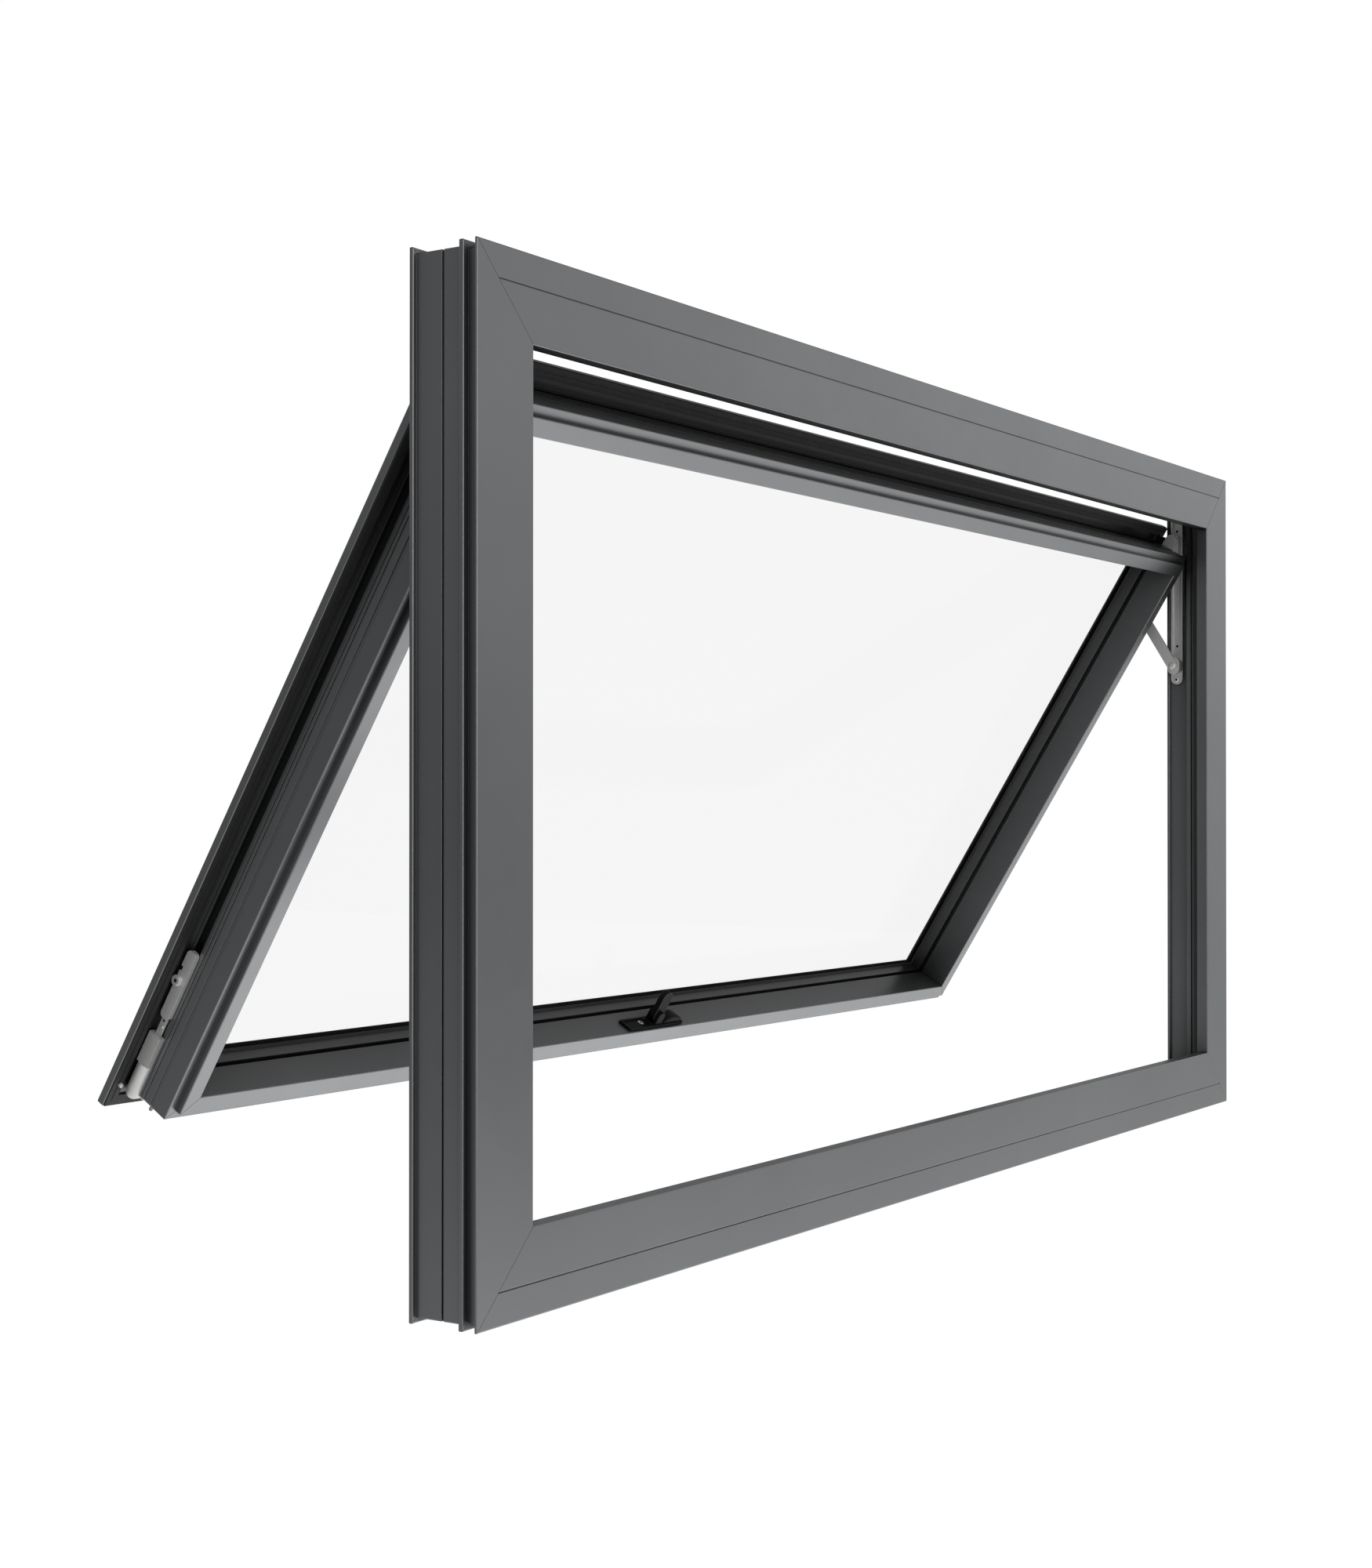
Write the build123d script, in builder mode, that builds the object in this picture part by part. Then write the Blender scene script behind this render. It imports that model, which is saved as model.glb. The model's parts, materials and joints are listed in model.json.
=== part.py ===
"""Top hung awning window: a mitred aluminium frame and sash on two side stays.

Millimetres. +X runs along the width, to the right seen from indoors. +Y points outdoors and +Z up.
The origin is under the sill, in the middle of its middle rib. The sash stands open, as in use.
"""
import os
from math import cos, hypot, radians, sin

from build123d import *

os.makedirs("parts", exist_ok=True)

# Overall sizes of the frame
frame_width = 1200.0
frame_height = 620.0
frame_depth = 50.0
face_width = 53.0  # the frame's face, seen from indoors

# Frame extrusion
face_plate = 2.0  # the face runs past the box as a thin plate
channel_recess = 4.6  # floor of the channel between that plate and the middle rib
rib_start = 10.0  # the middle rib, from the indoor face
rib_end = 13.5
web_recess = 3.2  # how far the outer web lies behind the rib and the flange
web_line = 26.6  # the line along the outer web
web_line_width = 1.5
web_line_depth = 1.2
outer_flange = 3.0  # thickness of the outdoor flange
outer_flange_width = 31.0
face_line = 19.4  # the fine line along the face of head and sill, from the outer edge
fine_line_width = 0.8
fine_line_depth = 0.6
box_depth = 11.0  # indoor box that the sash closes against
step_width = 43.0  # the step behind that box
step_end = 25.0
step_line = 19.2  # groove along the step
step_line_width = 1.6
step_line_depth = 1.5
floor_width = 29.0  # the rebate's floor, which carries the stay tracks
frame_wall = 2.0
edge_radius = 0.8  # the sections' outer corners are slightly round
mitre_gap = 0.15  # each member stops this far short, so that a hairline shows at the corner

# Sash extrusion
overlap = 5.0  # how far the sash's ledge reaches behind the frame's face
ledge_depth = 5.0  # how far the ledge lies behind the raised face
ledge_width = 6.5
raised_width = 12.5
box_back = 28.0  # depth of the sash's main chamber
rebate_floor = 8.0  # floor of the glazing rebate
leaf_overhang = 15.0  # the outdoor leaf beyond the ledge, clear of the frame's flange
leaf_front = 44.5
leaf_back = 50.5
lip_front = 49.0  # the thin lip that holds the glass outdoors
lip_width = 20.0
groove_start = 34.4  # mouth of the hardware groove
groove_end = 41.2
groove_floor = 6.0
groove_lip = 1.5
sash_wall = 2.0
side_lines = ((18.7, 2.5), (27.0, 0.7), (30.3, 0.7))  # shallow lines along the sash's side: start, width

# Glass, beads and seals
bead_start = 32.5
bead_end = 42.0
bead_foot = 14.0
bead_wall = 1.5
glass_front = 43.5
glass_thickness = 5.0
glass_edge_cover = 10.0  # where the glass starts, inside the ledge's outer edge
seal_clearance = 0.3
gasket_rise = 2.0  # how far the gasket shows above the bead
gasket_edge = 0.5  # its thickness where it ends on the glass
gasket_show = 1.0  # how far the outdoor gasket shows past the lip
gasket_setback = 2.0  # it starts this far inside the glass's edge
leaf_seal_edge = 4.5
leaf_seal_width = 4.0
leaf_seal_thickness = 1.5
frame_seal_width = 4.0
frame_seal_shoulder = 1.2  # the seal's round top starts this far below its tip

# Opening and the stays
open_angle = 31.5
closed_depth = 11.0  # the raised face behind the frame's face when shut
stay_setback = 10.5  # the pivots lie this far inside the frame's outdoor face
head_clearance = 12.0  # the upper pivot stays this far below the head's rebate when shut
link_length = 72.5
link_width = 10.0
link_thickness = 3.0
arm_width = 12.0
arm_thickness = 3.0
arm_end = 3.5  # how far the sash arm runs on past the knee, to the middle of its round end
layer_gap = 0.4  # between the sash arm and the link
track_thickness = 3.0
track_width = 12.0
track_channel = 8.0
track_channel_depth = 2.0
track_below_pivot = 12.0
pivot_radius = 2.5
pivot_clearance = 0.05
rivet_head_radius = 4.2
rivet_head_thickness = 1.3
shoe_top = 5.5
shoe_bottom = 14.0
shoe_width = 10.0
shoe_corner = 2.0
shoe_key_inset = 1.5  # the key in the track's channel is this much shorter at both ends
slide_clearance = 0.3

# Lock hardware on the stiles
rod_width = 8.6
rod_bottom = 58.0
rod_top = 109.5
rod_height = 3.4  # how far the rod stands out of the groove
rod_end_radius = 3.4
rod_seat = 0.2  # the rod slides this far off the stile's side
key_depth = 1.0  # how far rods and corner drives reach into the groove's mouth
key_clearance = 0.3
tongue_width = 5.0
tongue_bottom = 28.0
tongue_room = 2.0  # free depth of the corner drive's slot below the tongue
tongue_thickness = 1.4
tongue_overlap = 5.0  # how far the tongue runs under the rod
rod_notch = 3.5
rod_notch_height = 95.0
cam_height = 86.2
cam_radius = 3.8
cam_offset = 2.4  # the cam stands towards the leaf
cam_rise = 1.4  # how far the cam stands above the rod
corner_leg = 45.0
corner_radius = 5.5
corner_plate = 4.2  # the flat upper part of the corner drive
corner_plate_start = 22.0

# Handle
handle_centre = 4.0
handle_length = 80.0
handle_width = 14.0
handle_front = 2.5
handle_plate = 2.0
handle_corner = 2.0
recess_depth = 1.0
recess_border = 2.0
recess_length = 30.0
dome_start = 7.0  # the dome beside the lever, from the lever's pivot
dome_length = 30.0
dome_height = 8.0
pivot_across = 2.5
ear_thickness = 3.0
ear_radius = 4.5
lever_gap = 0.2
lever_thickness = 5.0
lever_length = 16.5
lever_width = 13.0
handle_pin_radius = 1.8

# Worked-out places
sash_half = frame_width / 2 - face_width + overlap
sash_height = frame_height - 2 * face_width + 2 * overlap
closed_bottom = face_width - overlap
stay_line = frame_depth - stay_setback
pivot_depth = stay_line - closed_depth  # the pivots, behind the sash's raised face
lower_pivot_height = frame_height - floor_width - head_clearance - 2 * link_length
arm_length = link_length + arm_end
upper_pivot = lower_pivot_height + 2 * link_length - closed_bottom
angle = radians(open_angle)
shoe_height = lower_pivot_height + 2 * link_length * cos(angle)
sash_bottom_depth = stay_line - pivot_depth * cos(angle) + upper_pivot * sin(angle)
sash_bottom_height = shoe_height - pivot_depth * sin(angle) - upper_pivot * cos(angle)
floor_x = frame_width / 2 - floor_width
raised_edge = ledge_width + raised_width

frame_base = Plane(origin=(0, -(rib_start + rib_end) / 2, 0), x_dir=(1, 0, 0), z_dir=(0, 0, 1))
sash_base = Plane(
    origin=frame_base.from_local_coords((0, sash_bottom_depth, sash_bottom_height)),
    x_dir=(1, 0, 0),
    z_dir=(0, -sin(angle), cos(angle)),
)


def finish(part, name):
    """Label one finished piece and write it."""
    part.label = name
    export_step(part, f"parts/{name}.step")


def local_plane(base, origin, x_dir, z_dir):
    """A plane given in the frame's or the sash's own directions: across, outwards, up."""
    across, out, up = base.x_dir, base.y_dir, base.z_dir

    def turn(d):
        return across * d[0] + out * d[1] + up * d[2]

    return Plane(origin=base.from_local_coords(origin), x_dir=turn(x_dir), z_dir=turn(z_dir))


def side_plane(base, x):
    """A plane across the width at x, with its first axis outwards and its second up."""
    return local_plane(base, (x, 0, 0), (0, 1, 0), (1, 0, 0))


def mitred_length(base, half, height, side, outline, chambers=(), soft=(), gap=mitre_gap):
    """One length of a section round the rectangle 2*half by height, cut at 45 degrees.

    The section is drawn as (distance inwards from the outer edge, depth from indoors).
    Its corners named in soft are rounded.
    """
    places = {
        "bottom": ((0, 0, 0), (0, 0, 1), (-1, 0, 0), half),
        "top": ((0, 0, height), (0, 0, -1), (1, 0, 0), half),
        "left": ((-half, 0, height / 2), (1, 0, 0), (0, 0, 1), height / 2),
        "right": ((half, 0, height / 2), (-1, 0, 0), (0, 0, -1), height / 2),
    }
    origin, inwards, along, reach = places[side]
    with BuildPart() as length:
        with BuildSketch(local_plane(base, origin, inwards, along)) as section:
            with BuildLine():
                Polyline(*outline, close=True)
            make_face()
            if soft:
                near = edge_radius / 100
                corners = section.vertices().filter_by(
                    lambda v: any(hypot(v.X - corner[0], v.Y - corner[1]) < near for corner in soft)
                )
                fillet(corners, radius=edge_radius)
            for chamber in chambers:
                with BuildLine():
                    Polyline(*chamber, close=True)
                make_face(mode=Mode.SUBTRACT)
        extrude(amount=reach + 2 * leaf_overhang, both=True)
        for end in (-1, 1):
            corner = tuple(origin[i] + end * (reach - gap) * along[i] for i in range(3))
            kept = tuple(-end * along[i] - inwards[i] for i in range(3))
            split(bisect_by=local_plane(base, corner, (0, 1, 0), kept), keep=Keep.TOP)
    return length.part


def ring(base, half, height, outline):
    """A seal that runs round all four sides, in one piece."""
    with BuildPart() as loop:
        for side in ("bottom", "top", "left", "right"):
            add(mitred_length(base, half, height, side, outline, gap=0))
    return loop.part


def rectangle(a0, y0, a1, y1):
    """Corners of a rectangular section."""
    return ((a0, y0), (a1, y0), (a1, y1), (a0, y1))


# Frame members
flange_start = frame_depth - outer_flange
face_line_outline = (
    (face_line, 0),
    (face_line, fine_line_depth),
    (face_line + fine_line_width, fine_line_depth),
    (face_line + fine_line_width, 0),
)
frame_outline = (
    (face_width, 0),
    (face_width, box_depth),
    (step_width, box_depth),
    (step_width, step_line),
    (step_width - step_line_depth, step_line),
    (step_width - step_line_depth, step_line + step_line_width),
    (step_width, step_line + step_line_width),
    (step_width, step_end),
    (floor_width, step_end),
    (floor_width, flange_start),
    (outer_flange_width, flange_start),
    (outer_flange_width, frame_depth),
    (0, frame_depth),
    (0, flange_start),
    (web_recess, flange_start),
    (web_recess, web_line + web_line_width),
    (web_recess + web_line_depth, web_line + web_line_width),
    (web_recess + web_line_depth, web_line),
    (web_recess, web_line),
    (web_recess, rib_end),
    (0, rib_end),
    (0, rib_start),
    (channel_recess, rib_start),
    (channel_recess, face_plate),
    (0, face_plate),
    (0, 0),
)
frame_soft = (
    (face_width, 0),
    (face_width, box_depth),
    (outer_flange_width, flange_start),
    (outer_flange_width, frame_depth),
    (0, frame_depth),
    (0, flange_start),
    (0, rib_end),
    (0, rib_start),
    (0, face_plate),
    (0, 0),
)
web_inside = max(channel_recess, web_recess + web_line_depth) + frame_wall
face_chamber = rectangle(
    channel_recess + frame_wall, frame_wall, face_width - frame_wall, box_depth - frame_wall
)
web_chamber = (
    (web_inside, box_depth),
    (step_width - step_line_depth - frame_wall, box_depth),
    (step_width - step_line_depth - frame_wall, step_end - frame_wall),
    (floor_width - frame_wall, step_end - frame_wall),
    (floor_width - frame_wall, flange_start),
    (web_inside, flange_start),
)
frame_names = {
    "top": "frame_head",
    "bottom": "frame_sill",
    "left": "frame_jamb_left",
    "right": "frame_jamb_right",
}
for side, name in frame_names.items():
    outline = frame_outline
    if side in ("top", "bottom"):
        outline = face_line_outline + frame_outline
    member = mitred_length(
        frame_base, frame_width / 2, frame_height, side, outline, (face_chamber, web_chamber), frame_soft
    )
    finish(member, name)

# Seal on the back of the frame's indoor box, which the sash's ledge closes on
seal_start = face_width - overlap - frame_seal_width / 8
seal_tip = closed_depth + ledge_depth - seal_clearance
frame_seal_outline = (
    (seal_start, box_depth),
    (seal_start + frame_seal_width, box_depth),
    (seal_start + 0.8 * frame_seal_width, seal_tip - frame_seal_shoulder),
    (seal_start + 0.5 * frame_seal_width, seal_tip),
    (seal_start + 0.2 * frame_seal_width, seal_tip - frame_seal_shoulder),
)
finish(ring(frame_base, frame_width / 2, frame_height, frame_seal_outline), "frame_seal")

# Sash members
groove_inner_start = groove_start - groove_lip
groove_inner_end = groove_end + groove_lip
sash_outline = [
    (ledge_width, 0),
    (raised_edge, 0),
    (raised_edge, box_back),
    (rebate_floor, box_back),
    (rebate_floor, lip_front),
    (lip_width, lip_front),
    (lip_width, leaf_back),
    (-leaf_overhang, leaf_back),
    (-leaf_overhang, leaf_front),
    (0, leaf_front),
    (0, groove_end),
    (groove_lip, groove_end),
    (groove_lip, groove_inner_end),
    (groove_floor, groove_inner_end),
    (groove_floor, groove_inner_start),
    (groove_lip, groove_inner_start),
    (groove_lip, groove_start),
    (0, groove_start),
]
for line, width in reversed(side_lines):
    sash_outline += [
        (0, line + width),
        (fine_line_depth, line + width),
        (fine_line_depth, line),
        (0, line),
    ]
sash_outline += [(0, ledge_depth), (ledge_width, ledge_depth)]
sash_soft = (
    (ledge_width, 0),
    (raised_edge, 0),
    (-leaf_overhang, leaf_back),
    (-leaf_overhang, leaf_front),
    (0, ledge_depth),
)
sash_chamber = (
    (ledge_width + sash_wall, sash_wall),
    (raised_edge - sash_wall, sash_wall),
    (raised_edge - sash_wall, box_back - sash_wall),
    (fine_line_depth + sash_wall, box_back - sash_wall),
    (fine_line_depth + sash_wall, ledge_depth + sash_wall),
    (ledge_width + sash_wall, ledge_depth + sash_wall),
)
bead_outline = (
    (rebate_floor, box_back),
    (bead_foot, box_back),
    (bead_foot, bead_start),
    (raised_edge, bead_start),
    (raised_edge, bead_end),
    (rebate_floor, bead_end),
)
bead_chamber = rectangle(
    rebate_floor + bead_wall, bead_start + bead_wall, raised_edge - bead_wall, bead_end - bead_wall
)
sash_names = {
    "top": "sash_top_rail",
    "bottom": "sash_bottom_rail",
    "left": "sash_stile_left",
    "right": "sash_stile_right",
}
for side, name in sash_names.items():
    member = mitred_length(sash_base, sash_half, sash_height, side, sash_outline, (sash_chamber,), sash_soft)
    finish(member, name)
    bead = mitred_length(sash_base, sash_half, sash_height, side, bead_outline, (bead_chamber,))
    finish(bead, f"glazing_bead_{side}")

inside_gasket_outline = (
    (bead_foot, bead_end),
    (raised_edge, bead_end),
    (raised_edge + gasket_rise, glass_front - gasket_edge),
    (raised_edge + gasket_rise, glass_front),
    (bead_foot, glass_front),
)
finish(ring(sash_base, sash_half, sash_height, inside_gasket_outline), "glazing_gasket_inside")
outside_gasket_outline = rectangle(
    glass_edge_cover + gasket_setback, glass_front + glass_thickness, lip_width + gasket_show, lip_front
)
finish(ring(sash_base, sash_half, sash_height, outside_gasket_outline), "glazing_gasket_outside")
leaf_seal_outline = rectangle(
    -leaf_overhang + leaf_seal_edge, leaf_front - leaf_seal_thickness,
    -leaf_overhang + leaf_seal_edge + leaf_seal_width, leaf_front
)
finish(ring(sash_base, sash_half, sash_height, leaf_seal_outline), "leaf_seal")

with BuildPart() as glass:
    glass_plane = local_plane(sash_base, (0, glass_front, sash_height / 2), (1, 0, 0), (0, 1, 0))
    with BuildSketch(glass_plane):
        Rectangle(2 * (sash_half - glass_edge_cover), sash_height - 2 * glass_edge_cover)
    extrude(amount=glass_thickness)
finish(glass.part, "glass_pane")

# Side stays, one on each jamb
track_end_height = lower_pivot_height - track_below_pivot
track_top = frame_height - floor_width
arm_x = sash_half + arm_thickness
link_x = arm_x + layer_gap
cap_x = link_x + link_thickness + slide_clearance
track_x = floor_x - track_thickness
pivot_hole = pivot_radius + pivot_clearance
knee_height = upper_pivot - link_length
groove_middle = (groove_start + groove_end) / 2
key_width = groove_end - groove_start - 2 * key_clearance
key_top = tongue_bottom - tongue_room
rod_seat_x = sash_half + rod_seat

for hand, sign in (("left", -1), ("right", 1)):
    with BuildPart() as track:
        with BuildSketch(side_plane(frame_base, sign * floor_x)):
            with Locations((stay_line, (track_end_height + track_top) / 2)):
                Rectangle(track_width, track_top - track_end_height)
            with Locations((stay_line, track_end_height)):
                Circle(track_width / 2)
        extrude(amount=-sign * track_thickness)
        with BuildSketch(side_plane(frame_base, sign * track_x)):
            channel_bottom = lower_pivot_height + track_width
            with Locations((stay_line, (channel_bottom + track_top) / 2)):
                Rectangle(track_channel, track_top - channel_bottom)
        extrude(amount=sign * track_channel_depth, mode=Mode.SUBTRACT)
    finish(track.part, f"stay_track_{hand}")

    with BuildPart() as end_cap:
        with BuildSketch(side_plane(frame_base, sign * track_x)):
            with Locations((stay_line, lower_pivot_height)):
                SlotCenterToCenter(link_width / 2, track_width, rotation=90)
        extrude(amount=-sign * (track_x - cap_x))
        with BuildSketch(side_plane(frame_base, sign * cap_x)):
            with Locations((stay_line, lower_pivot_height)):
                Circle(pivot_radius)
        extrude(amount=-sign * (cap_x - link_x))
    finish(end_cap.part, f"stay_end_cap_{hand}")

    knee = (stay_line + link_length * sin(angle), lower_pivot_height + link_length * cos(angle))
    with BuildPart() as link:
        with BuildSketch(side_plane(frame_base, sign * link_x)):
            with BuildLine() as centre_line:
                Line((stay_line, lower_pivot_height), knee)
            with Locations(centre_line.line @ 0.5):
                SlotCenterToCenter(link_length, link_width, rotation=90 - open_angle)
            with Locations((stay_line, lower_pivot_height), knee):
                Circle(pivot_hole, mode=Mode.SUBTRACT)
        extrude(amount=sign * link_thickness)
    finish(link.part, f"stay_link_{hand}")

    with BuildPart() as arm:
        with BuildSketch(side_plane(sash_base, sign * sash_half)):
            with Locations((pivot_depth, upper_pivot - arm_length / 2)):
                SlotCenterToCenter(arm_length, arm_width, rotation=90)
            with Locations((pivot_depth, upper_pivot)):
                Circle(pivot_hole, mode=Mode.SUBTRACT)
        extrude(amount=sign * arm_thickness)
        with BuildSketch(side_plane(sash_base, sign * arm_x)):
            with Locations((pivot_depth, knee_height)):
                Circle(pivot_radius)
        extrude(amount=sign * (cap_x - arm_x))
        with BuildSketch(side_plane(sash_base, sign * cap_x)):
            with Locations((pivot_depth, knee_height)):
                Circle(rivet_head_radius)
        extrude(amount=sign * rivet_head_thickness)
    finish(arm.part, f"stay_sash_arm_{hand}")

    with BuildPart() as shoe:
        with BuildSketch(side_plane(frame_base, sign * (track_x - slide_clearance))):
            with Locations((stay_line, shoe_height + (shoe_top - shoe_bottom) / 2)):
                RectangleRounded(shoe_width, shoe_top + shoe_bottom, shoe_corner)
        extrude(amount=-sign * (track_x - slide_clearance - cap_x))
        with BuildSketch(side_plane(frame_base, sign * (track_x - slide_clearance))):
            with Locations((stay_line, shoe_height + (shoe_top - shoe_bottom) / 2)):
                Rectangle(track_channel - 2 * slide_clearance, shoe_top + shoe_bottom - 2 * shoe_key_inset)
        extrude(amount=sign * track_channel_depth)
        with BuildSketch(side_plane(frame_base, sign * cap_x)):
            with Locations((stay_line, shoe_height)):
                Circle(pivot_radius)
        extrude(amount=-sign * (cap_x - sash_half - slide_clearance))
    finish(shoe.part, f"stay_shoe_{hand}")

    # Lock rod with its cam, in the stile's hardware groove
    with BuildPart() as rod:
        with BuildSketch(side_plane(sash_base, sign * rod_seat_x)):
            with Locations((groove_middle, (rod_bottom + rod_top) / 2)):
                RectangleRounded(rod_width, rod_top - rod_bottom, rod_end_radius)
            with Locations((groove_middle + rod_width / 2, rod_notch_height)):
                Rectangle(rod_notch, rod_notch, mode=Mode.SUBTRACT)
        extrude(amount=sign * (rod_height - rod_seat))
        with BuildSketch(side_plane(sash_base, sign * (sash_half - key_depth))):
            with Locations((groove_middle, (rod_bottom + rod_top) / 2)):
                Rectangle(key_width, rod_top - rod_bottom - 2 * rod_end_radius)
        extrude(amount=sign * (key_depth + rod_seat))
        with BuildSketch(side_plane(sash_base, sign * rod_seat_x)):
            with Locations((groove_middle, (tongue_bottom + rod_bottom + tongue_overlap) / 2)):
                Rectangle(tongue_width, rod_bottom + tongue_overlap - tongue_bottom)
            with Locations((groove_middle + cam_offset, cam_height)):
                Circle(cam_radius)
        extrude(amount=sign * tongue_thickness)
        with BuildSketch(side_plane(sash_base, sign * (rod_seat_x + tongue_thickness))):
            with Locations((groove_middle + cam_offset, cam_height)):
                Circle(cam_radius)
        extrude(amount=sign * (rod_height + cam_rise - tongue_thickness - rod_seat))
    finish(rod.part, f"lock_rod_{hand}")

    # Corner drive, which turns the lock gear round the sash's lower corner: a flat plate and a half round
    # up the stile, a quarter ball at the corner and a half round under the rail
    drive_centre = (sign * sash_half, groove_middle, 0)
    stile_leg = local_plane(sash_base, drive_centre, (sign, 0, 0), (0, 0, 1))
    rail_leg = local_plane(sash_base, drive_centre, (0, 0, -1), (-sign, 0, 0))
    turn_axis = Axis(stile_leg.origin, sash_base.y_dir * sign)
    with BuildPart() as drive:
        with BuildSketch(stile_leg) as stile_section:
            Circle(corner_radius)
            split(bisect_by=Plane.YZ)
        extrude(amount=corner_plate_start)
        with BuildSketch(rail_leg):
            Circle(corner_radius)
            split(bisect_by=Plane.YZ)
        extrude(amount=corner_leg)
        revolve(stile_section.sketch, axis=turn_axis, revolution_arc=90)
        with BuildSketch(side_plane(sash_base, sign * (sash_half - key_depth))):
            with Locations((groove_middle, (key_depth + key_top) / 2 + key_clearance)):
                Rectangle(key_width, key_top - key_depth)
        extrude(amount=sign * key_depth)
        with BuildSketch(side_plane(sash_base, sign * sash_half)):
            with Locations((groove_middle, (corner_plate_start + corner_leg) / 2)):
                Rectangle(2 * corner_radius, corner_leg - corner_plate_start)
        extrude(amount=sign * corner_plate)
        with BuildSketch(side_plane(sash_base, sign * sash_half)):
            with Locations((groove_middle, corner_leg)):
                Rectangle(tongue_width + 2 * key_clearance, 2 * (corner_leg - key_top))
        extrude(amount=sign * (rod_seat + tongue_thickness + key_clearance), mode=Mode.SUBTRACT)
    finish(drive.part, f"corner_drive_{hand}")

# Handle on the bottom rail's inner side
seat = local_plane(sash_base, (handle_centre, 0, raised_edge), (1, 0, 0), (0, 0, 1))
handle_middle = handle_front + handle_width / 2
ear_gap = lever_thickness + 2 * lever_gap
pivot_rise = handle_plate + lever_width / 2 + lever_gap
ear_plane = local_plane(
    sash_base, (handle_centre + pivot_across, handle_middle, raised_edge), (-1, 0, 0), (0, 1, 0)
)
ear_front = ear_plane.offset(-ear_gap / 2 - ear_thickness)
ear_span = ear_gap + 2 * ear_thickness
with BuildPart() as handle_base:
    with BuildSketch(seat):
        with Locations((0, handle_middle)):
            RectangleRounded(handle_length, handle_width, handle_corner)
    extrude(amount=handle_plate)
    with BuildSketch(seat.offset(handle_plate - recess_depth)):
        with Locations((-(handle_length - recess_length) / 2 + recess_border, handle_middle)):
            RectangleRounded(recess_length, handle_width - 2 * recess_border, handle_corner)
    extrude(amount=recess_depth, mode=Mode.SUBTRACT)
    with BuildSketch(ear_front):
        with BuildLine():
            dome_centre = (-dome_start - dome_length / 2, 0)
            dome = EllipticalCenterArc(dome_centre, dome_length / 2, dome_height, arc_size=180)
            Line(dome @ 1, dome @ 0)
        make_face()
    extrude(amount=ear_span)
    chamfer(handle_base.edges().filter_by(GeomType.ELLIPSE), length=handle_corner / 2)
    with BuildSketch(ear_front):
        with Locations((0, pivot_rise)):
            Circle(ear_radius)
        with Locations((0, pivot_rise / 2)):
            Rectangle(2 * ear_radius, pivot_rise)
    extrude(amount=ear_span)
    with BuildSketch(ear_plane.offset(-ear_gap / 2)):
        with Locations((0, pivot_rise + ear_radius)):
            Rectangle(lever_width + 2 * lever_gap, 2 * (pivot_rise + ear_radius - handle_plate))
    extrude(amount=ear_gap, mode=Mode.SUBTRACT)
    with BuildSketch(ear_front):
        with Locations((0, pivot_rise)):
            Circle(handle_pin_radius)
    extrude(amount=ear_span)
finish(handle_base.part, "handle_base")

with BuildPart() as lever:
    with BuildSketch(ear_plane.offset(-lever_thickness / 2)):
        with Locations((0, pivot_rise + lever_length / 2)):
            SlotCenterToCenter(lever_length, lever_width, rotation=90)
        with Locations((0, pivot_rise)):
            Circle(handle_pin_radius + pivot_clearance, mode=Mode.SUBTRACT)
    extrude(amount=lever_thickness)
finish(lever.part, "handle_lever")
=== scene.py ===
"""Looks of the top hung awning window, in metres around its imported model; its details are in millimetres."""
import json
from math import cos, e, pi, radians, sin

import bmesh
import bpy
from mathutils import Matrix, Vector


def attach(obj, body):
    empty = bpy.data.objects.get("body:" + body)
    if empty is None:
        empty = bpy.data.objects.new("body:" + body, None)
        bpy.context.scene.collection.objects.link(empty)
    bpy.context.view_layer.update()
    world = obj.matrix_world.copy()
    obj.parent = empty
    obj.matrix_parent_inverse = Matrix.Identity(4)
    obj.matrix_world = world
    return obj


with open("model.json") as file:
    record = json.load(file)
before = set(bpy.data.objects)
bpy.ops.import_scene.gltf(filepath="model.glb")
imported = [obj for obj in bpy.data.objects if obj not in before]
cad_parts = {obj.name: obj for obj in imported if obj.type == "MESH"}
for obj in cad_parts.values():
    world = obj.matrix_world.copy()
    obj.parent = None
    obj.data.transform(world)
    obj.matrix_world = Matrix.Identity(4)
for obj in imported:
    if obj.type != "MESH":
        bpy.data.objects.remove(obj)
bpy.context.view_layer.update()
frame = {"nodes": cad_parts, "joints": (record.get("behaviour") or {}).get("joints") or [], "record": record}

# Camera, solved from the frame's corners in the photograph
camera_place = (-1.6241, -0.82415, 0.3019)
camera_yaw = 56.753  # degrees, from straight outdoors towards the right
camera_pitch = 0.366  # degrees, upwards
camera_lens = 52.97  # millimetres, as is the long side of the sensor
camera_sensor = 36.0

# Floor
floor_height = -1.1
floor_size = 40.0
floor_paint = (0.8, 0.8, 0.8, 1)
floor_glow = 0.72  # added to the lit paint where the camera sees it
pool_place = (1.2, -0.6, floor_height)  # the middle of the pool of light that the object mirrors
pool_light = 1.85
pool_reach = 3.6
floor_dim = 0.15  # the light of the mirrored floor far from that pool

# Studio, as it lights the object; a direction has a length of 1
bright_way = (0.7, -0.6, -0.5)  # towards its bright side
dark_until = 0.15  # how far a direction leans that way where the walls start to get brighter
bright_from = 0.85  # and where they are at their brightest
dark_wall = (0.15, 0.7)  # the light at the horizon, and how much it grows away from it
bright_wall = (0.33, 2.0)
ceiling_start = 0.25  # how far a direction rises where the ceiling starts to take over from the walls
ceiling_end = 0.5
ceiling_light = 0.5  # against the walls
half_a_bounce = 0.5  # a ray with fewer comes straight from the camera

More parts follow.
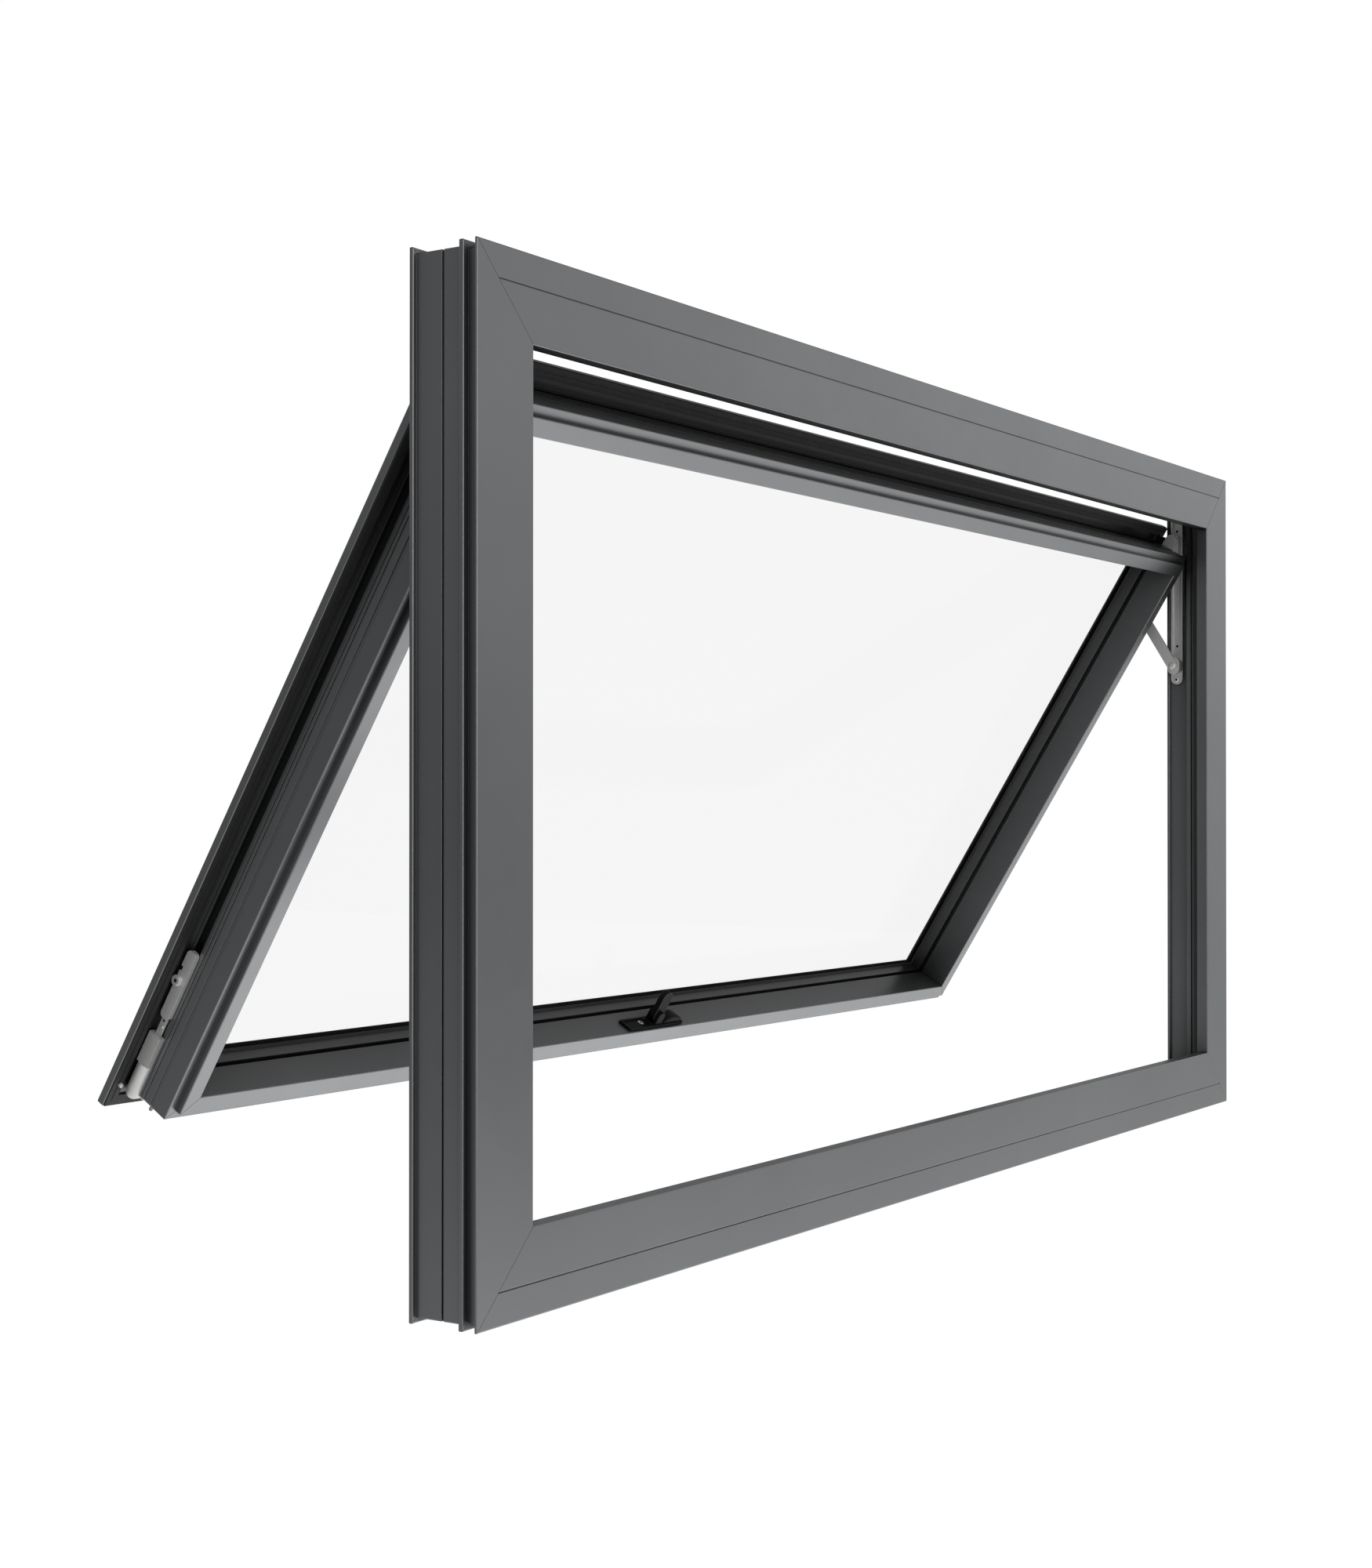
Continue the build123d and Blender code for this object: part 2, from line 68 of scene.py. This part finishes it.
# Soft boxes: the way out from the place that they light, how far out, width and height, and radiance
lit_place = Vector((0.0, 0.1, 0.3))
lamps = {
    "right": ((0.93, -0.37, 0.02), 3.2, (2.0, 2.2), 0.3),
    "behind_camera": ((-0.6, -0.78, 0.15), 3.2, (2.2, 2.2), 2.2),
    "outdoor": ((-0.1, 0.9, 0.6), 3.4, (3.0, 2.0), 0.8),
}

# Finishes: a pair of colours is the darkest and the lightest, and a noise scale counts features to the metre
coat_grey = ((0.212, 0.218, 0.224), (0.23, 0.236, 0.242))
coat_roughness = 0.33
coat_metal = 0.85
handle_black = ((0.01, 0.01, 0.01), (0.015, 0.015, 0.015))
handle_roughness = 0.4
handle_gloss = 0.04
bare_metal_highlight = (0.3, 0.3, 0.3)  # under the worn edges of the handle's lever, lighter, which also paints the highlight along them
# painted shade: the dark floor of a screw's socket or a hole, a flat disc
painted_socket_shadow = ((0.012, 0.012, 0.012), (0.02, 0.02, 0.02))
socket_roughness = 0.6
cloud_scale = 6.0  # faint clouds in a coat's colour
cloud_range = (0.3, 0.7)  # the noise where a cloud is darkest and lightest
sheen_scale = 60.0  # uneven gloss of a coat
sheen_change = 0.03
peel_scale = 1400.0  # a coat's orange peel
peel_height = 0.000012
corner_radius = 0.0006  # of the coated sections' sharp corners
highlit_wear_range = (0.8, 0.98)  # how well a face agrees with its rounded corner, where worn and painted with a highlight, and where whole
painted_shade_reach = 0.1  # how far a wall still casts painted shade on its neighbour
painted_shade_range = (0.25, 0.85)  # how open a place is where the painted shade is darkest, and where there is none
painted_shade_dark = 0.15  # painted shade: the coat's colour deep in a groove, against the open face
rubber_black = ((0.008, 0.008, 0.008), (0.018, 0.018, 0.018))
rubber_roughness = (0.55, 0.75)
mottle_scale = 90.0
dry_patch_scale = 300.0
rubber_grain_scale = 2500.0
rubber_grain_height = 0.00003
steel_grey = ((0.62, 0.62, 0.61), (0.72, 0.72, 0.71))
steel_roughness = (0.36, 0.52)
steel_metal = 0.55
stain_scale = 40.0
steel_grain_scale = 900.0
steel_grain_height = 0.00002
steel_corner = 0.0004
glass_tint = (0.912, 0.912, 0.912, 1)
glass_bend = 1.04  # low, because a thin pane hardly shifts what shows through it
glass_shadow = (0.95, 0.95, 0.95, 1)

# The open sash's directions, and the middle of its lower indoor edge in millimetres
millimetre = 0.001
joints = {joint["name"]: joint for joint in frame["joints"]}
lower_pivot = Vector(joints["stay_right_lower_pivot"]["pos_m"]) / millimetre
upper_pivot = Vector(joints["shoe_right_pivot"]["pos_m"]) / millimetre
across = Vector((1.0, 0.0, 0.0))
outwards = Vector(joints["handle_turn"]["axis"])
upwards = Vector(joints["lock_rod_right_slide"]["axis"])
pivot_depth = 28.5  # of the upper pivot, from the sash's indoor face
pivot_height = 531.0  # and from its lower edge
sash_start = upper_pivot - across * upper_pivot.x - outwards * pivot_depth - upwards * pivot_height

# Places of the details on the frame: from the middle of its width, and from the underside of its sill
track_floor = 570.0
track_face = 568.0
rivet_face = 555.4
track_screw_heights = (454.0, 568.7)
foot_screw_height = 420.6

# Places on the sash: across, outwards and upwards from the middle of its lower indoor edge
cam_place = (556.8, 40.2, 86.2)
tongue_stud = (553.6, 37.0, 51.5)
tongue_hole = (553.6, 37.6, 56.0)
peg_place = (561.0, 43.0, 2.2)
stud_place = (549.0, 30.6, 0.0)
pin_place = (549.5, 20.7, 0.0)
handle_screw = (-10.5, 10.6, 20.0)
bracket_side = 552.3
bracket_thickness = 2.3
bracket_corners = ((30.0, 505.0), (43.5, 505.0), (43.5, 528.0), (37.0, 531.0), (30.0, 531.0))
bracket_edge = 0.3  # how far its edges are rounded
sash_side, sash_bottom, sash_top = 552.0, 0.0, 524.0  # the outline that the leaf overhangs
seal_outer, seal_inner = 14.6, 10.6  # the edges of the leaf's edge seal, beyond that outline
seal_front, seal_back = 43.3, 44.6  # its faces, outwards

# Profiles of the turned details: radii and heights above the foot, up the head and on into its socket
screw_head = ((2.7, -0.4), (2.7, 0.05), (2.5, 0.15), (1.3, 0.15))
screw_socket = ((1.2, 0.05), (0.0, 0.05))
pan_head = ((2.6, -0.4), (2.6, 0.5), (2.2, 0.9), (1.1, 1.1))
pan_socket = ((1.0, 0.7), (0.0, 0.7))
cam_rim = ((3.7, -0.3), (3.7, 0.2), (3.3, 0.5), (1.4, 0.5))
cam_socket = ((1.0, 0.1), (0.0, 0.1))
hole_rim = ((1.2, -0.3), (1.2, 0.1), (1.0, 0.15))
hole_floor = ((0.8, 0.1), (0.0, 0.1))
rivet_dome = ((3.4, -0.3), (3.4, 0.3), (2.8, 0.8), (1.6, 1.1), (0.0, 1.2))
small_stud = ((1.3, -0.3), (1.3, 0.3), (0.9, 0.7), (0.0, 0.8))
leaf_peg = ((1.7, -0.4), (1.7, 1.2), (1.3, 1.8), (0.0, 2.1))
corner_stud = ((2.1, -0.5), (2.1, 1.4), (1.5, 2.1), (0.0, 2.4))
corner_pin = ((1.3, -0.5), (1.3, 3.4), (0.9, 4.0), (0.0, 4.1))
turned_sides = 28
smooth_angle = radians(35)


def make_camera():
    """The photograph's camera."""
    data = bpy.data.cameras.new("camera")
    data.lens = camera_lens
    data.sensor_width = camera_sensor
    camera = bpy.data.objects.new("camera", data)
    camera.location = camera_place
    camera.rotation_euler = (radians(90 + camera_pitch), 0, radians(-camera_yaw))
    bpy.context.collection.objects.link(camera)
    bpy.context.scene.camera = camera


def soft_box(name, way, distance, size, radiance):
    """A soft box that stands out from the lit place along a way; its surface has the given radiance."""
    data = bpy.data.lights.new(name, "AREA")
    data.shape = "RECTANGLE"
    data.size, data.size_y = size
    data.energy = radiance * pi * size[0] * size[1]
    light = bpy.data.objects.new(name, data)
    light.location = lit_place + Vector(way).normalized() * distance
    light.rotation_euler = (lit_place - light.location).to_track_quat("-Z", "Y").to_euler()
    light.visible_camera = False
    light.visible_transmission = False
    bpy.context.collection.objects.link(light)


class Nodes:
    """Short calls to build one node tree."""

    def __init__(self, tree):
        self.tree = tree

    def add(self, kind, **inputs):
        """A node with values or links on its named inputs."""
        node = self.tree.nodes.new(kind)
        for key, value in inputs.items():
            self.set(node.inputs[key.replace("_", " ")], value)
        return node

    def set(self, socket, value):
        """Give a socket a value, or link it to another socket."""
        if isinstance(value, bpy.types.NodeSocket):
            self.tree.links.new(value, socket)
        else:
            socket.default_value = value

    def place(self):
        """Object coordinates."""
        return self.add("ShaderNodeTexCoord").outputs["Object"]

    def noise(self, where, scale, detail=2.0, roughness=0.5):
        """Noise from 0 to 1."""
        node = self.add("ShaderNodeTexNoise", Vector=where, Scale=scale, Detail=detail, Roughness=roughness)
        return node.outputs["Fac"]

    def spread(self, value, low, high, start=0.0, end=1.0, kind="LINEAR"):
        """Map a value's range from start..end to low..high."""
        node = self.add(
            "ShaderNodeMapRange", Value=value, From_Min=start, From_Max=end, To_Min=low, To_Max=high
        )
        node.interpolation_type = kind
        return node.outputs["Result"]

    def maths(self, operation, *values):
        """The result of an operation on numbers."""
        node = self.tree.nodes.new("ShaderNodeMath")
        node.operation = operation
        for socket, value in zip(node.inputs, values):
            self.set(socket, value)
        return node.outputs[0]

    def vectors(self, operation, first, second):
        """The outputs of an operation on two vectors."""
        node = self.tree.nodes.new("ShaderNodeVectorMath")
        node.operation = operation
        self.set(node.inputs[0], first)
        self.set(node.inputs[1], second)
        return node.outputs

    def tint(self, value, dark, light):
        """A colour between two, by a value from 0 to 1."""
        ramp = self.add("ShaderNodeValToRGB", Fac=value)
        ramp.color_ramp.elements[0].color = (*dark, 1)
        ramp.color_ramp.elements[1].color = (*light, 1)
        return ramp.outputs["Color"]

    def bump(self, height, distance, corner=0.0):
        """A normal roughened by a height, over corners that are slightly round."""
        node = self.add("ShaderNodeBump", Height=height, Distance=distance)
        if corner:
            self.set(node.inputs["Normal"], self.add("ShaderNodeBevel", Radius=corner).outputs["Normal"])
        return node.outputs["Normal"]

    def with_painted_groove_shade(self, colour):
        """A colour with painted shade, darker deep in the grooves of the sections."""
        openness = self.add("ShaderNodeAmbientOcclusion", Distance=painted_shade_reach).outputs["AO"]
        shade = self.spread(openness, painted_shade_dark, 1.0, *painted_shade_range)
        return self.vectors("MULTIPLY", colour, shade)["Vector"]

    def highlit_wear(self, colour, bare):
        """A colour that is worn to another one along the edges, which also paints a highlight there."""
        rounded = self.add("ShaderNodeBevel", Radius=corner_radius).outputs["Normal"]
        flat = self.add("ShaderNodeNewGeometry").outputs["True Normal"]
        match = self.vectors("DOT_PRODUCT", rounded, flat)["Value"]
        mix = self.tree.nodes.new("ShaderNodeMix")
        mix.data_type = "RGBA"
        colours = [socket for socket in mix.inputs if socket.type == "RGBA"]
        self.set(mix.inputs[0], self.spread(match, 1.0, 0.0, *highlit_wear_range))
        self.set(colours[0], colour)
        self.set(colours[1], (*bare, 1.0))
        return next(socket for socket in mix.outputs if socket.type == "RGBA")

    def join(self, kind, first, second, **inputs):
        """Mix or add two shaders."""
        node = self.add(kind, **inputs)
        shaders = [socket for socket in node.inputs if socket.type == "SHADER"]
        self.set(shaders[0], first.outputs[0])
        self.set(shaders[1], second.outputs[0])
        return node

    def seen(self):
        """1 for rays from the camera, also through glass, but not for what the object mirrors."""
        path = self.add("ShaderNodeLightPath").outputs
        bounces = self.maths("ADD", path["Glossy Depth"], path["Diffuse Depth"])
        unbounced = self.maths("LESS_THAN", bounces, half_a_bounce)
        through = self.maths("MULTIPLY", path["Is Transmission Ray"], unbounced)
        return self.maths("MAXIMUM", path["Is Camera Ray"], through)


def material(name, build):
    """A material whose shader is built by a function of its nodes."""
    made = bpy.data.materials.new(name)
    made.use_nodes = True
    made.node_tree.nodes.clear()
    n = Nodes(made.node_tree)
    output = n.add("ShaderNodeOutputMaterial")
    n.set(output.inputs["Surface"], build(n).outputs[0])
    return made


def powder_coat(colours, roughness, metallic=0.0, gloss=0.5, highlit_wear=None):
    """Satin powder coat: fine orange peel, faint clouds, uneven gloss, painted shade in grooves, and edges
    that may be worn lighter, partly a painted highlight.
    """

    def build(n):
        where = n.place()
        clouds = n.spread(n.noise(where, cloud_scale, detail=3.0), 0, 1, *cloud_range)
        colour = n.tint(clouds, *colours)
        if highlit_wear:
            colour = n.highlit_wear(colour, highlit_wear)
        sheen = n.noise(where, sheen_scale, detail=3.0)
        shader = n.add(
            "ShaderNodeBsdfPrincipled",
            # painted shade: the coat's colour darkens deep in its grooves
            Base_Color=n.with_painted_groove_shade(colour),
            Roughness=n.spread(sheen, roughness - sheen_change, roughness + sheen_change),
            Normal=n.bump(n.noise(where, peel_scale), peel_height, corner_radius),
            Metallic=metallic,
        )
        n.set(shader.inputs["Specular IOR Level"], gloss)
        return shader

    return build


def rubber(n):
    """Black rubber with a dry, faintly mottled surface."""
    where = n.place()
    return n.add(
        "ShaderNodeBsdfPrincipled",
        Base_Color=n.tint(n.noise(where, mottle_scale, detail=4.0), *rubber_black),
        Roughness=n.spread(n.noise(where, dry_patch_scale), *rubber_roughness),
        Normal=n.bump(n.noise(where, rubber_grain_scale), rubber_grain_height),
    )


def satin_steel(n):
    """Stainless steel, satin, with a fine grain and faint stains."""
    where = n.place()
    grain = n.noise(where, steel_grain_scale, detail=3.0, roughness=0.6)
    return n.add(
        "ShaderNodeBsdfPrincipled",
        Base_Color=n.tint(n.noise(where, stain_scale, detail=3.0), *steel_grey),
        Roughness=n.spread(grain, *steel_roughness),
        Normal=n.bump(grain, steel_grain_height, steel_corner),
        Metallic=steel_metal,
    )


def clear_glass(n):
    """Float glass: clear, thin, with a faint grey tint, that lets light through without caustics."""
    shader = n.add("ShaderNodeBsdfPrincipled", Base_Color=glass_tint, Roughness=0.0, IOR=glass_bend)
    n.set(shader.inputs["Transmission Weight"], 1.0)
    clear = n.add("ShaderNodeBsdfTransparent", Color=glass_shadow)
    path = n.add("ShaderNodeLightPath").outputs
    return n.join("ShaderNodeMixShader", shader, clear, Fac=path["Is Shadow Ray"])


def pale_floor(n):
    """A pale floor that glows up to white for the camera and still shows the shadow."""
    seen = n.seen()
    paint = n.add("ShaderNodeBsdfDiffuse", Color=floor_paint)
    glow = n.add("ShaderNodeEmission", Strength=n.spread(seen, 0.0, floor_glow))
    plain = n.join("ShaderNodeAddShader", paint, glow)
    where = n.add("ShaderNodeNewGeometry").outputs["Position"]
    away = n.vectors("DISTANCE", where, pool_place)["Value"]
    fall = n.maths("POWER", e, n.maths("MULTIPLY", away, -1 / pool_reach))
    pool = n.add("ShaderNodeEmission", Strength=n.maths("MULTIPLY_ADD", fall, pool_light, floor_dim))
    path = n.add("ShaderNodeLightPath").outputs
    bent = n.maths("MAXIMUM", path["Is Glossy Ray"], path["Is Transmission Ray"])
    return n.join("ShaderNodeMixShader", plain, pool, Fac=n.maths("SUBTRACT", bent, seen))


def make_floor():
    """The floor, which isn't part of the object."""
    bpy.ops.mesh.primitive_plane_add(size=floor_size, location=(0, 0, floor_height))
    floor = bpy.context.object
    floor.name = "floor"
    floor.data.materials.append(material("floor", pale_floor))


def make_studio():
    """A studio that is white to the camera but bright to one side for the object."""
    world = bpy.data.worlds.new("studio")
    world.use_nodes = True
    n = Nodes(world.node_tree)
    background = n.tree.nodes["Background"]
    background.inputs["Color"].default_value = (1, 1, 1, 1)
    ways = n.add("ShaderNodeTexCoord")
    axes = n.add("ShaderNodeSeparateXYZ", Vector=ways.outputs["Generated"]).outputs
    lean = n.maths("MULTIPLY", axes["X"], bright_way[0])
    lean = n.maths("MULTIPLY_ADD", axes["Y"], bright_way[1], lean)
    lean = n.maths("MULTIPLY_ADD", axes["Z"], bright_way[2], lean)
    side = n.spread(lean, 0.0, 1.0, dark_until, bright_from, "SMOOTHSTEP")
    height = n.maths("ABSOLUTE", axes["Z"])
    dark = n.maths("MULTIPLY_ADD", height, dark_wall[1], dark_wall[0])
    bright = n.maths("MULTIPLY_ADD", height, bright_wall[1], bright_wall[0])
    walls = n.maths("MULTIPLY_ADD", side, n.maths("SUBTRACT", bright, dark), dark)
    studio = n.maths("MULTIPLY", walls, n.spread(axes["Z"], 1.0, ceiling_light, ceiling_start, ceiling_end))
    white = n.maths("MULTIPLY_ADD", n.seen(), n.maths("SUBTRACT", 1.0, studio), studio)
    n.set(background.inputs["Strength"], white)
    bpy.context.scene.world = world


def dress(node, finish):
    """Give a CAD node one finish."""
    finishes = frame["nodes"][node].data.materials
    finishes.clear()
    finishes.append(finish)


def on_sash(place, sign=1):
    """A point of the sash; a sign of -1 puts it on the other side."""
    x, depth, height = place
    return sash_start + across * (sign * x) + outwards * depth + upwards * height


def finish_piece(name, build, body, slot, *finishes):
    """Make an object of a bmesh in millimetres; it rides a body and has the finishes given, those of its slot.
    The slot argument itself is not used.
    """
    bmesh.ops.recalc_face_normals(build, faces=build.faces)
    bmesh.ops.scale(build, vec=[millimetre] * 3, verts=build.verts)
    mesh = bpy.data.meshes.new(name)
    build.to_mesh(mesh)
    build.free()
    mesh.shade_smooth()
    mesh.set_sharp_from_angle(angle=smooth_angle)
    for finish in finishes:
        mesh.materials.append(finish)
    piece = bpy.data.objects.new(name, mesh)
    bpy.context.collection.objects.link(piece)
    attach(piece, body)


def turned(name, body, foot, way, head, socket=(), slot="stay_steel"):
    """A turned piece that stands on a point along a way, by the profiles of its head and its socket, whose
    flat floor is painted dark with shade.
    """
    build = bmesh.new()
    side = way.orthogonal().normalized()
    other = way.cross(side)
    rings = []
    for radius, height in head + socket:
        steps = turned_sides if radius else 1
        turns = [2 * pi * step / steps for step in range(steps)]
        spokes = [side * (radius * cos(turn)) + other * (radius * sin(turn)) for turn in turns]
        rings.append([build.verts.new(foot + way * height + spoke) for spoke in spokes])
    build.faces.new(rings[0])
    for step, (low, high) in enumerate(zip(rings, rings[1:]), 1):
        for k in range(turned_sides):
            corners = [low[k], low[(k + 1) % turned_sides], high[(k + 1) % len(high)]]
            if len(high) > 1:
                corners.append(high[k])
            build.faces.new(corners).material_index = int(step >= len(head))
    finish_piece(name, build, body, slot, by_slot[slot], painted_socket_shade)


def track_details(hand, sign):
    """The screws of a stay's track, and the rivet on its lower pivot."""

    def stand(name, face, height, head, socket=()):
        foot = Vector((sign * face, lower_pivot.y, height))
        turned(name, "frame", foot, across * -sign, head, socket)

    for number, height in enumerate(track_screw_heights, 1):
        stand(f"track_screw_{hand}_{number}", track_floor, height, screw_head, screw_socket)
    stand(f"track_foot_screw_{hand}", track_face, foot_screw_height, pan_head, pan_socket)
    stand(f"lower_pivot_rivet_{hand}", rivet_face, lower_pivot.z, rivet_dome)


def rod_details(hand, sign):
    """The rim and socket of a lock rod's cam, and the stud and the hole of its tongue."""
    rod = f"rod_{hand}"
    way = across * sign
    turned(f"cam_rim_{hand}", rod, on_sash(cam_place, sign), way, cam_rim, cam_socket)
    turned(f"tongue_stud_{hand}", rod, on_sash(tongue_stud, sign), way, small_stud)
    turned(f"tongue_hole_{hand}", rod, on_sash(tongue_hole, sign), way, hole_rim, hole_floor)


def corner_details(hand, sign):
    """The peg on the leaf, and the stud and the pin under the sash's lower corner."""
    turned(f"leaf_peg_{hand}", "sash", on_sash(peg_place, sign), -outwards, leaf_peg)
    turned(f"corner_stud_{hand}", "sash", on_sash(stud_place, sign), -upwards, corner_stud)
    foot = on_sash(pin_place, sign)
    turned(f"corner_pin_{hand}", "sash", foot, -upwards, corner_pin, slot="painted_aluminium")


def arm_bracket(hand, sign):
    """The plate that fills the corner between a stay's sash arm and the leaf."""
    build = bmesh.new()
    outline = [on_sash((bracket_side, depth, height), sign) for depth, height in bracket_corners]
    low = [build.verts.new(point) for point in outline]
    high = [build.verts.new(point + across * (sign * bracket_thickness)) for point in outline]
    build.faces.new(low)
    build.faces.new(high)
    for k in range(len(low)):
        build.faces.new((low[k - 1], low[k], high[k], high[k - 1]))
    bmesh.ops.bevel(build, geom=build.edges[:], offset=bracket_edge, segments=2, affect="EDGES")
    slot = "painted_aluminium"
    finish_piece(f"arm_bracket_{hand}", build, "sash", slot, by_slot[slot])


def edge_seal():
    """The flat rubber strip along the edge of the leaf, all the way round."""
    build = bmesh.new()
    outside = ((seal_outer, seal_back), (seal_outer, seal_front))
    inside = ((seal_inner, seal_front), (seal_inner, seal_back))
    loops = []
    for reach, depth in outside + inside:
        side = sash_side + reach
        low, high = sash_bottom - reach, sash_top + reach
        corners = ((-side, low), (side, low), (side, high), (-side, high))
        loops.append([build.verts.new(on_sash((x, depth, height))) for x, height in corners])
    for near, far in zip(loops, loops[1:] + loops[:1]):
        for k in range(len(near)):
            build.faces.new((near[k - 1], near[k], far[k], far[k - 1]))
    finish_piece("leaf_edge_seal", build, "sash", "seal", by_slot["seal"])


make_camera()
make_floor()
make_studio()
for name, (way, distance, size, radiance) in lamps.items():
    soft_box(name, way, distance, size, radiance)

shaders = {
    "painted_aluminium": powder_coat(coat_grey, coat_roughness, coat_metal),
    "handle_paint": powder_coat(handle_black, handle_roughness, gloss=handle_gloss),
    "seal": rubber,
    "stay_steel": satin_steel,
    "glass": clear_glass,
}
by_slot = {slot: material(slot, shader) for slot, shader in shaders.items()}
# a socket's floor: a shallow disc painted dark as the shade in a hole
painted_socket_shade = material("painted_socket_shade", powder_coat(painted_socket_shadow, socket_roughness))
# the lever's edges are worn lighter: partly real wear, partly a painted highlight
highlit_worn_paint = powder_coat(handle_black, handle_roughness, gloss=handle_gloss, highlit_wear=bare_metal_highlight)
for part in frame["record"]["subparts"]:
    dress(part["node"], by_slot[part["material_slot"]])
dress("handle_lever", material("highlit_worn_handle_paint", highlit_worn_paint))

for hand, sign in (("left", -1), ("right", 1)):
    track_details(hand, sign)
    rod_details(hand, sign)
    corner_details(hand, sign)
    arm_bracket(hand, sign)
turned("handle_screw", "sash", on_sash(handle_screw), upwards, screw_head, screw_socket)
edge_seal()

bpy.context.scene.view_settings.view_transform = "Standard"
